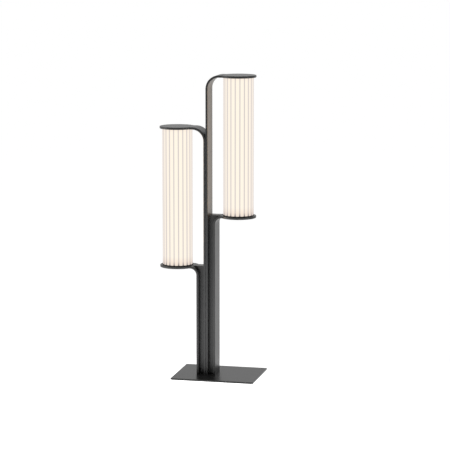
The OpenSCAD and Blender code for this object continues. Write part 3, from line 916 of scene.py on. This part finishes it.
@dataclass
class FlutedGlass:
    """One fluted glass tube, open at both ends, with filleted valleys and fire polished rims."""

    side: Side
    flutes: int = 20
    crest_r: float = 60 * MM
    flute_r: float = 14 * MM
    bore_r: float = 53.5 * MM
    arc_step: float = 5.0
    arc_half: float = 40.0
    valley_r: float = 57.43 * MM
    valley_gap: float = 0.1 * MM
    valley_fillet: float = 0.5 * MM
    fillet_steps: int = 3
    rim_round: float = 0.6 * MM
    rim_steps: int = 3
    rim_angle: float = 60.0

    def build(self, material: bpy.types.Material) -> None:
        """Model the tube and let it stand for its CAD node.

        Args:
            material: Its lit finish.
        """
        node = self.side.node("fluted_glass")
        low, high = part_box(node)
        axis = Vector(((low.x + high.x) / 2, (low.y + high.y) / 2, 0.0))
        pitch = TURN / self.flutes
        reach = self.crest_r - self.flute_r
        centre = axis + Vector((reach * math.cos(pitch / 2), reach * math.sin(pitch / 2), 0.0))
        deselect_all()
        bpy.ops.mesh.primitive_circle_add(
            vertices=round(360 / self.arc_step), radius=self.flute_r,
            location=(centre.x, centre.y, low.z), rotation=(0.0, 0.0, pitch / 2))
        piece = Workpiece(node + "_ribbed")
        limit = math.cos(math.radians(self.arc_half + self.arc_step / 2)) * self.flute_r
        outward = (centre - axis).normalized()
        piece.pick(Pick.VERTS, lambda vert: (vert.co - centre).dot(outward) < limit)
        bpy.ops.mesh.delete(type="VERT")
        bpy.ops.mesh.select_all(action="SELECT")
        piece.repeat(axis, UP, self.flutes)
        bpy.ops.mesh.select_all(action="SELECT")
        bpy.ops.mesh.remove_doubles(threshold=self.valley_gap)
        bpy.ops.mesh.extrude_region_move(TRANSFORM_OT_translate={"value": (0.0, 0.0, high.z - low.z)})
        self.round_valleys(piece, axis)
        self.close_to_bore(piece, axis, low.z, high.z)
        piece.done(Slot.FLUTED_GLASS, material, node)

    def round_valleys(self, piece: Workpiece, axis: Vector) -> None:
        """Fillet the upright edges in the valleys.

        Args:
            piece: The fluted wall.
            axis: Point on the tube's axis.
        """
        def in_valley(edge: Any) -> bool:
            """Whether an edge stands upright at the bottom of a valley.

            Args:
                edge: A BMesh edge.

            Returns:
                True in a valley.
            """
            spots = [(vert.co - axis).to_2d().length for vert in edge.verts]
            upright = abs(edge.verts[0].co.z - edge.verts[1].co.z) > self.flute_r
            return upright and max(spots) < self.valley_r + self.valley_gap

        piece.pick(Pick.EDGES, in_valley)
        bpy.ops.mesh.bevel(offset=self.valley_fillet, segments=self.fillet_steps, affect="EDGES")

    def close_to_bore(self, piece: Workpiece, axis: Vector, foot: float, top: float) -> None:
        """Add the bore, bridge the wall to it at both ends and round the four rims.

        Args:
            piece: The fluted wall.
            axis: Point on the tube's axis.
            foot: Height of the tube's foot.
            top: Height of its top.
        """
        around = self.flutes * (round(2 * self.arc_half / self.arc_step) + self.fillet_steps)
        bpy.ops.mesh.select_all(action="DESELECT")
        bpy.ops.mesh.primitive_cylinder_add(
            vertices=around, radius=self.bore_r, depth=top - foot, end_fill_type="NOTHING",
            location=(axis.x, axis.y, (foot + top) / 2))
        for level in (foot, top):
            piece.pick(Pick.EDGES, lambda edge, z=level: all(abs(v.co.z - z) < NEAR for v in edge.verts))
            bpy.ops.mesh.bridge_edge_loops()
        piece.weld()
        sharp = math.radians(self.rim_angle)
        piece.pick(Pick.EDGES, lambda edge: edge.calc_face_angle(0.0) > sharp and is_level(edge))
        bpy.ops.mesh.bevel(offset=self.rim_round, segments=self.rim_steps, affect="EDGES")
        piece.weld()


@dataclass
class LedStrips:
    """Six circuit strips round one heat sink, each with its column of light chips.

    Its sizes are in millimetres. The dome of phosphor rises in steps, each with its height and
    the share of its width that is left at its top.
    """

    side: Side
    strips: int = 6
    chips: int = 12
    face_r: float = 17.32
    board_t: float = 1.6
    board_w: float = 12.0
    ease: float = 0.2
    chip_w: float = 5.0
    chip_t: float = 1.0
    frame_w: float = 0.7
    well: float = 0.3
    glow_r: float = 1.6
    glow_steps: int = 16
    dome: tuple[Flat, ...] = ((0.12, 0.92), (0.1, 0.8), (0.06, 0.5))
    weld_gap: float = 0.001

    def build(self, board: bpy.types.Material, case: bpy.types.Material,
              phosphor: bpy.types.Material) -> None:
        """Model the boards, the chips and their phosphor, in place of the CAD node.

        Args:
            board: Finish of the circuit boards.
            case: Finish of the chips' cases.
            phosphor: Finish of the light emitting faces.
        """
        low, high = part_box(self.side.node("led_strips"))
        axis = Vector(((low.x + high.x) / 2, (low.y + high.y) / 2, low.z))
        pitch = (high.z - low.z) / self.chips
        self.boards(axis, high.z - low.z, board)
        self.cases(axis, pitch, case)
        self.domes(axis, pitch, phosphor)

    def finish(self, piece: Workpiece, axis: Vector, material: bpy.types.Material, *replaced: str) -> None:
        """Turn the piece to the first face of the heat sink, repeat it round all and hand it over.

        Args:
            piece: What one strip has of it, modelled on the +X side.
            axis: Point on the light's axis.
            material: Its finish.
            *replaced: CAD nodes that it stands for.
        """
        bpy.ops.mesh.select_all(action="SELECT")
        bpy.ops.transform.rotate(value=TURN / 2 / self.strips, orient_axis="Z", center_override=axis)
        piece.repeat(axis, UP, self.strips)
        piece.weld(self.weld_gap * MM)
        piece.done(Slot.CIRCUIT_STRIP, material, *replaced)

    def boards(self, axis: Vector, length: float, material: bpy.types.Material) -> None:
        """Model the boards, with their long edges eased.

        Args:
            axis: Point on the light's axis at the boards' foot.
            length: Length of a board, in metres.
            material: Its finish.
        """
        inner, outer, half, ease = self.face_r, self.face_r + self.board_t, self.board_w / 2, self.ease
        flat = [(inner, -half), (outer - ease, -half), (outer, ease - half),
                (outer, half - ease), (outer - ease, half), (inner, half)]
        spots = [axis + Vector((x * MM, y * MM, 0.0)) for x, y in flat]
        piece = pushed(self.side.node("led_boards"), spots, length)
        self.finish(piece, axis, material, self.side.node("led_strips"))

    def cases(self, axis: Vector, pitch: float, material: bpy.types.Material) -> None:
        """Model the chips' cases, each with a shallow well in its face.

        Args:
            axis: Point on the light's axis at the boards' foot.
            pitch: Height from one chip to the next, in metres.
            material: Finish of the cases.
        """
        corner_r, foot = self.chip_w / math.sqrt(2), self.face_r + self.board_t
        spots = [axis + Vector((foot * MM, y * MM, pitch / 2 + z * MM)) for y, z in ring(corner_r, 4, 45.0)]
        piece = outline(self.side.node("led_cases"), spots, filled=True)
        bpy.ops.mesh.extrude_region_move(TRANSFORM_OT_translate={"value": (self.chip_t * MM, 0.0, 0.0)})
        bpy.ops.mesh.inset(thickness=self.frame_w * MM)
        bpy.ops.mesh.inset(thickness=self.well * MM, depth=-self.well * MM)
        bpy.ops.mesh.select_all(action="SELECT")
        piece.stack(pitch, self.chips)
        self.finish(piece, axis, material)

    def domes(self, axis: Vector, pitch: float, material: bpy.types.Material) -> None:
        """Model the low domes of phosphor in the wells.

        Args:
            axis: Point on the light's axis at the boards' foot.
            pitch: Height from one chip to the next, in metres.
            material: Finish of the phosphor.
        """
        foot = self.face_r + self.board_t + self.chip_t - self.well
        centre = axis + Vector((0.0, 0.0, pitch / 2))
        spots = [centre + Vector((foot * MM, y * MM, z * MM)) for y, z in ring(self.glow_r, self.glow_steps)]
        piece = outline(self.side.node("led_phosphor"), spots, filled=True)
        for rise, share in self.dome:
            bpy.ops.mesh.extrude_region_move(TRANSFORM_OT_translate={"value": (rise * MM, 0.0, 0.0)})
            bpy.ops.transform.resize(value=(1.0, share, share), center_override=centre)
        bpy.ops.mesh.select_all(action="SELECT")
        piece.stack(pitch, self.chips)
        self.finish(piece, axis, material)


@dataclass(frozen=True)
class Softbox:
    """A rectangular light that hangs free and faces a point."""

    name: str
    place: Triple
    aim: Triple
    size: Flat
    watts: float
    colour: Triple = (1.0, 1.0, 1.0)
    spread: float = 180.0

    def hang(self) -> None:
        """Make the light and turn it to its aim."""
        data = bpy.data.lights.new(self.name, "AREA")
        data.shape = "RECTANGLE"
        data.size, data.size_y = self.size
        data.energy = self.watts
        data.color = self.colour
        data.spread = math.radians(self.spread)
        light = bpy.data.objects.new(self.name, data)
        light.location = self.place
        way = Vector(self.aim) - Vector(self.place)
        light.rotation_euler = way.to_track_quat("-Z", "Y").to_euler()
        bpy.context.collection.objects.link(light)


@dataclass
class Studio:
    """White floor, soft light all round and the camera at the photograph's angle.

    The floor's glow, a painted pool of light that is brightest in front of the lamp and dim under and behind
    it, is given as places along Y, in metres, each with its level. The sky is brightest towards one
    direction and least bright away from it.
    """

    camera_place: Triple = (1.8219, -7.67543, 1.84362)
    camera_pitch: float = 8.915818
    camera_yaw: float = 13.181721
    lens: float = 161.86347
    sensor: float = 36.0
    clip: Flat = (0.1, 200.0)
    floor_r: float = 70.0
    floor_steps: int = 96
    floor_tones: Flat = (0.58, 0.6)
    floor_grain: float = 3.0
    floor_gloss: float = 0.9
    floor_strength: float = 3.3
    floor_glow: tuple[Flat, ...] = (
        (-24.0, 0.17), (-12.0, 0.16), (-8.0, 0.13), (-5.5, 0.12), (-3.4, 0.25), (-1.8, 0.92),
        (-0.8, 1.0), (-0.3, 1.0), (-0.13, 0.54), (0.06, 0.29), (0.4, 0.186))
    sky_way: Triple = (-0.55, 0.80, 0.25)
    sky_from: Flat = (-0.9, 0.6)
    sky_level: Flat = (0.24, 0.84)
    left: Softbox = Softbox("left softbox", (-3.4, -1.0, 1.6), (0.0, 0.0, 0.7), (2.0, 2.6), watts=30.0)
    glow_gap: float = 2 * MM
    glow_size: Flat = (0.08, 0.53)
    glow_watts: float = 0.81
    glow_colour: Triple = (1.0, 0.68, 0.39)
    glow_spread: float = 110.0

    def camera(self) -> None:
        """Set up the camera."""
        data = bpy.data.cameras.new("camera")
        data.lens, data.sensor_width = self.lens, self.sensor
        data.clip_start, data.clip_end = self.clip
        camera = bpy.data.objects.new("camera", data)
        camera.location = self.camera_place
        camera.rotation_euler = (math.radians(90 - self.camera_pitch), 0.0, math.radians(self.camera_yaw))
        bpy.context.collection.objects.link(camera)
        bpy.context.scene.camera = camera

    def floor(self) -> None:
        """Lay a wide pale floor under the lamp."""
        deselect_all()
        bpy.ops.mesh.primitive_circle_add(vertices=self.floor_steps, radius=self.floor_r, fill_type="NGON")
        floor = bpy.context.object
        floor.name = "floor"
        shader = Shader("pale floor")
        shader.set(Roughness=self.floor_gloss, Specular_IOR_Level=0.0, Emission_Strength=self.floor_strength)
        tone = shader.noise(shader.place(), self.floor_grain)
        dim, light = self.floor_tones
        shader.to("Base Color", shader.ramp(tone, ((0.0, (dim,) * 3), (1.0, (light,) * 3))))
        depth = shader.add("SeparateXYZ")
        shader.link(shader.place(), depth.inputs[0])
        # The floor's glow is a painted pool of light in front of the lamp, which also lights the lamp's
        # front faces.
        start, end = self.floor_glow[0][0], self.floor_glow[-1][0]
        near = shader.spread(depth.outputs["Y"], 0.0, 1.0, start, end)
        stops = [((y - start) / (end - start), (level,) * 3) for y, level in self.floor_glow]
        shader.to("Emission Color", shader.ramp(near, stops))
        floor.data.materials.append(shader.material)

    def sky(self) -> None:
        """Soft white surroundings, brighter behind and to the left, darker at the front right."""
        world = bpy.data.worlds.new("studio")
        bpy.context.scene.world = world
        world.use_nodes = True
        nodes, links = world.node_tree.nodes, world.node_tree.links
        back = nodes["Background"]
        where = nodes.new("ShaderNodeTexCoord")
        toward = nodes.new("ShaderNodeVectorMath")
        toward.operation = "DOT_PRODUCT"
        toward.inputs[1].default_value = Vector(self.sky_way).normalized()
        ramp = nodes.new("ShaderNodeMapRange")
        ramp.interpolation_type = "SMOOTHSTEP"
        for name, values in (("From", self.sky_from), ("To", self.sky_level)):
            ramp.inputs[f"{name} Min"].default_value, ramp.inputs[f"{name} Max"].default_value = values
        links.new(where.outputs["Generated"], toward.inputs[0])
        links.new(toward.outputs["Value"], ramp.inputs["Value"])
        links.new(ramp.outputs["Result"], back.inputs["Strength"])
        back.inputs["Color"].default_value = (1.0, 1.0, 1.0, 1.0)

    def glows(self) -> None:
        """Hang a warm light beside each tube, which lights the bar next to it as the tube would."""
        for side, toward in ((Side.LOW, 1.0), (Side.TALL, -1.0)):
            low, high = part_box(side.node("fluted_glass"))
            x = (high.x if toward > 0 else low.x) + toward * self.glow_gap
            z = (low.z + high.z) / 2
            Softbox(f"glow of tube {side.value}", (x, 0.0, z), (x + toward, 0.0, z), self.glow_size,
                    self.glow_watts, self.glow_colour, self.glow_spread).hang()

    def build(self) -> None:
        """Build the whole studio."""
        self.camera()
        self.floor()
        self.sky()
        self.left.hang()
        self.glows()
        bpy.context.scene.view_settings.view_transform = "Standard"


def dress(frame: dict[str, Any]) -> dict[Slot, bpy.types.Material]:
    """Give every CAD node the shader of its slot.


    Returns:
        The shader of each slot but the glass, which has one for each side.
    """
    built = {slot: finish.build() for slot, finish in FINISHES.items()}
    for name, node in sorted(frame["nodes"].items()):
        slot = Slot(node.data.materials[0].name.split(".")[0])
        if slot is Slot.FLUTED_GLASS:
            low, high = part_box(name)
            axis = ((low.x + high.x) / 2, (low.y + high.y) / 2)
            glass = LitGlass(axis, low.z, high.z, FlutedGlass.valley_r, FlutedGlass.crest_r)
            node.data.materials[0] = glass.build()
        else:
            node.data.materials[0] = built[slot]
        log.info("dressed %s in %s", name, slot.value)
    return built


def main() -> None:
    """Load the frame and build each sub-assembly."""
    logging.basicConfig(level=logging.INFO, format="%(name)s: %(message)s")
    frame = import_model()
    deselect_all()
    Studio().build()
    finish = dress(frame)
    phosphor = PHOSPHOR.build()
    for side in Side:
        FlutedGlass(side).build(frame["nodes"][side.node("fluted_glass")].data.materials[0])
        LedStrips(side).build(finish[Slot.CIRCUIT_STRIP], finish[Slot.WHITE_PLASTIC], phosphor)
        BentArm(side, "upper_arm", face_x=0.0, bend_r=45.0).build(finish[Slot.POWDER_COAT])
        BentArm(side, "lower_arm", face_x=29.0, bend_r=26.0).build(finish[Slot.POWDER_COAT])
    CableGland().build(finish[Slot.BLACK_PLASTIC], finish[Slot.BLACK_RUBBER])


if __name__ == "__main__":
    main()
